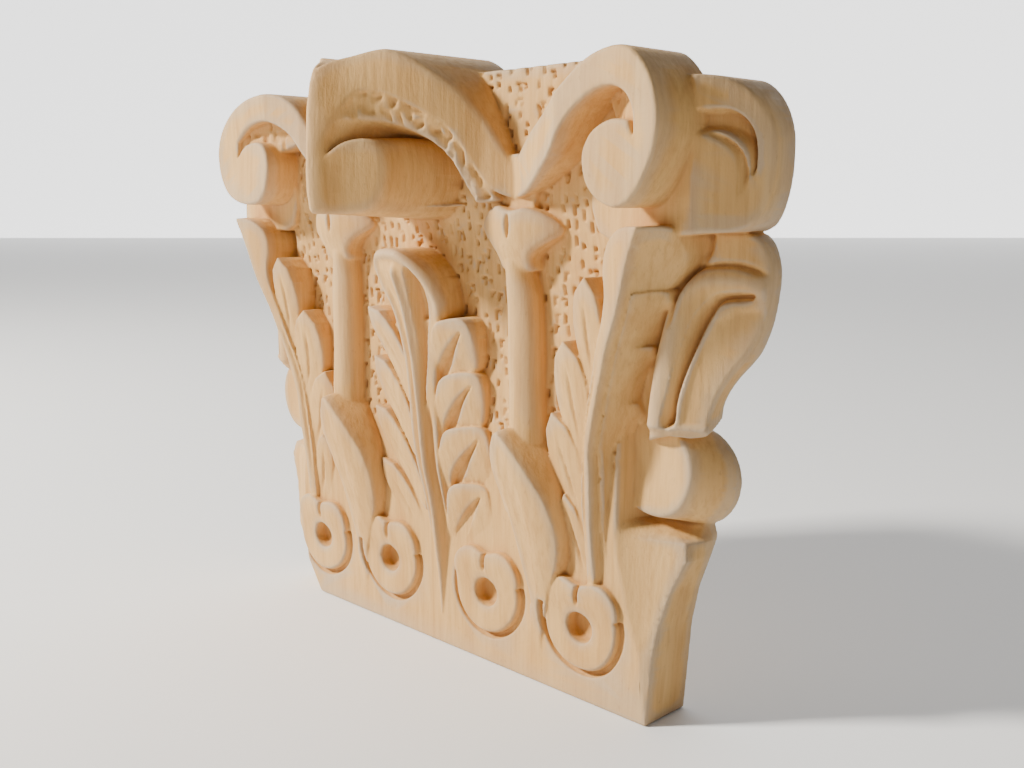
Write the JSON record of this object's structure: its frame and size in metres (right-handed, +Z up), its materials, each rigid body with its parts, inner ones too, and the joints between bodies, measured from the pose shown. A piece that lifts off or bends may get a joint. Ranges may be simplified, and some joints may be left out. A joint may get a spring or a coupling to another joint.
{
  "type": "carved capital",
  "caption": "Carved wooden pilaster capital with a pointed prow volute, corner volutes, lobed leaves, budded stems and eyed rings, flat at the back and underside.",
  "frame": {"origin": "centre of the bounding box in plan, at the flat underside", "axes": "+Z up, X across the front, the carved front faces -Y, the flat back faces +Y"},
  "size_m": [0.1482, 0.041, 0.117],
  "materials": {
    "bare_pale_wood": "bare, sanded, unfinished"
  },
  "bodies": {
    "root": {"capital": "bare_pale_wood"}
  },
  "joints": []
}
